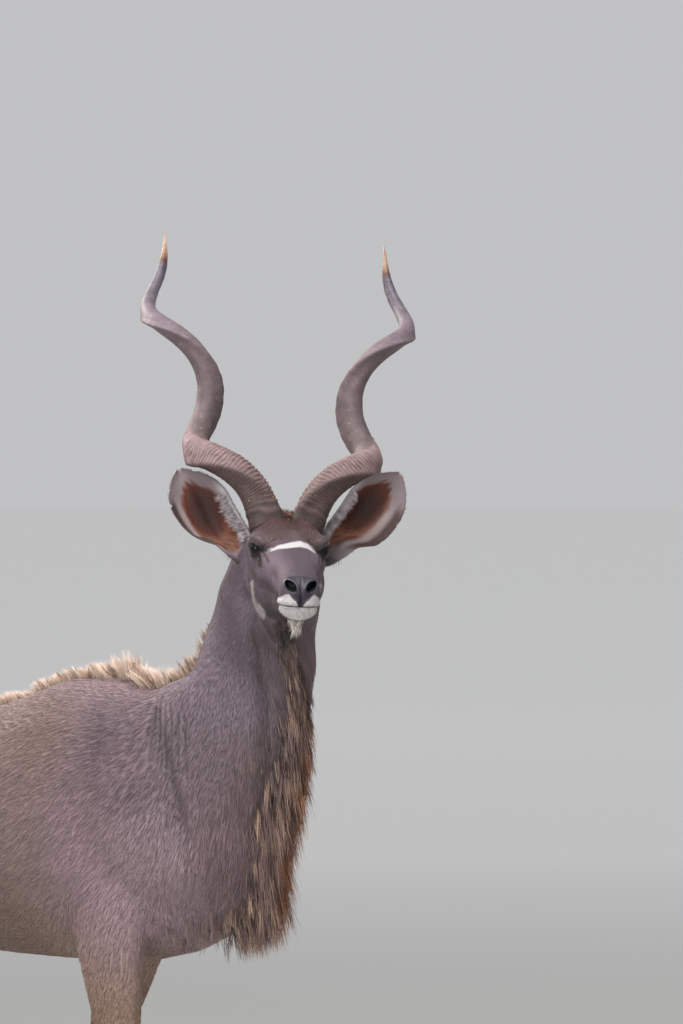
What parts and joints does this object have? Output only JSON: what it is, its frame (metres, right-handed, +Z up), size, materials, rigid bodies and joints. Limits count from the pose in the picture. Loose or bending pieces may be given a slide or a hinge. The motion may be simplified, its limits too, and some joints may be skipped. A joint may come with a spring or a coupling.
{
  "type": "greater kudu bull",
  "caption": "Life-size still model of a standing greater kudu bull with spiral horns, its head turned to its right.",
  "frame": {"origin": "on the ground, under the middle of the whole bull's box", "axes": "+Z is up, the bull's body faces -Y, and its left side is +X"},
  "size_m": [0.8488, 2.0262, 2.4304],
  "materials": {
    "coat": "short grey-brown hair that lies flat on the skin",
    "pale_hair": "long pale tan hair of the mane",
    "dark_hair": "long brown and black hair of the throat, chin and tail tip",
    "horn": "grey-brown keratin with transverse ridges, worn smooth and paler towards the tips",
    "hoof": "black keratin with fine growth lines",
    "eye": "wet dark brown eye with a horizontal pupil"
  },
  "bodies": {
    "root": {"trunk": "coat", "neck": "coat", "head": "coat", "lower_jaw": "coat", "tail": "coat", "foreleg_left": "coat", "foreleg_right": "coat", "hindleg_left": "coat", "hindleg_right": "coat", "ear_left": "coat", "ear_right": "coat", "withers_mane": "pale_hair", "nape_mane": "pale_hair", "throat_fringe": "dark_hair", "chin_beard": "dark_hair", "tail_tuft": "dark_hair", "horn_left": "horn", "horn_right": "horn", "hoof_fore_left_inner": "hoof", "hoof_fore_left_outer": "hoof", "hoof_fore_right_inner": "hoof", "hoof_fore_right_outer": "hoof", "hoof_hind_left_inner": "hoof", "hoof_hind_left_outer": "hoof", "hoof_hind_right_inner": "hoof", "hoof_hind_right_outer": "hoof", "eye_left": "eye", "eye_right": "eye"}
  },
  "joints": []
}
